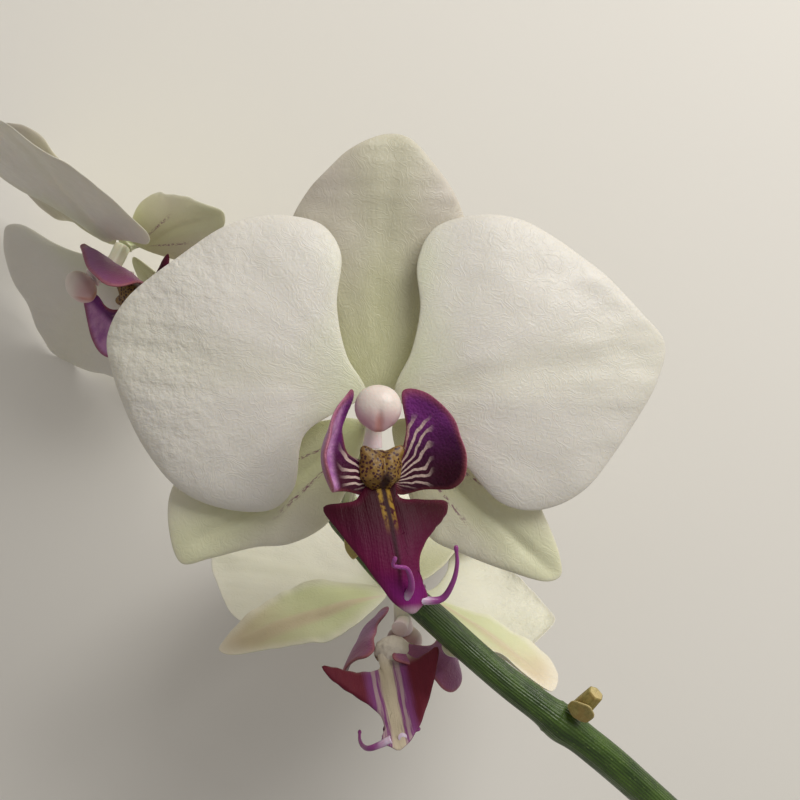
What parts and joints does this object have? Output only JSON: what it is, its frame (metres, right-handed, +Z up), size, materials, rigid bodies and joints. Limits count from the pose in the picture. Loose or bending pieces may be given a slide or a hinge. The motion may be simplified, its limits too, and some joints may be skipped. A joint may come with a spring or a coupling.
{
  "type": "phalaenopsis orchid stem",
  "caption": "Cut phalaenopsis orchid flower stem lying on a surface, with three white flowers, purple lips, a dried flower stub and a green stem",
  "frame": {"origin": "Bottom centre of the bounding box, on the surface that the cut stem lies on.", "axes": "+Z is up from the surface, and the full-face flower looks up along it. Seen from above with +Y up the page, the stem's cut end points down and to the right (+X, -Y), and +Y is the side of that flower's dorsal sepal."},
  "size_m": [0.2288, 0.2328, 0.117],
  "materials": {
    "petal": "waxy white petal, fine raised cells",
    "sepal": "waxy greenish white sepal",
    "lip": "satin maroon and magenta, white stripes and yellow callus",
    "column": "smooth pinkish white",
    "stalk": "smooth pale green",
    "stem": "satin fresh green with darker flecks",
    "dry_scale": "dry papery tan"
  },
  "bodies": {
    "root": {"rachis": "stem", "a_right_petal": "petal", "a_left_petal": "petal", "a_dorsal_sepal": "sepal", "a_left_sepal": "sepal", "a_right_sepal": "sepal", "a_lip": "lip", "a_column": "column", "a_anther_cap": "column", "a_pedicel": "stalk", "a_bract": "dry_scale", "b_right_petal": "petal", "b_left_petal": "petal", "b_dorsal_sepal": "sepal", "b_left_sepal": "sepal", "b_right_sepal": "sepal", "b_lip": "lip", "b_column": "column", "b_anther_cap": "column", "b_pedicel": "stalk", "b_bract": "dry_scale", "c_right_petal": "petal", "c_left_petal": "petal", "c_dorsal_sepal": "sepal", "c_left_sepal": "sepal", "c_right_sepal": "sepal", "c_lip": "lip", "c_column": "column", "c_anther_cap": "column", "c_pedicel": "stalk", "c_bract": "dry_scale", "stub": "dry_scale", "stub_bract": "dry_scale", "tip_bud": "stalk"}
  },
  "joints": []
}
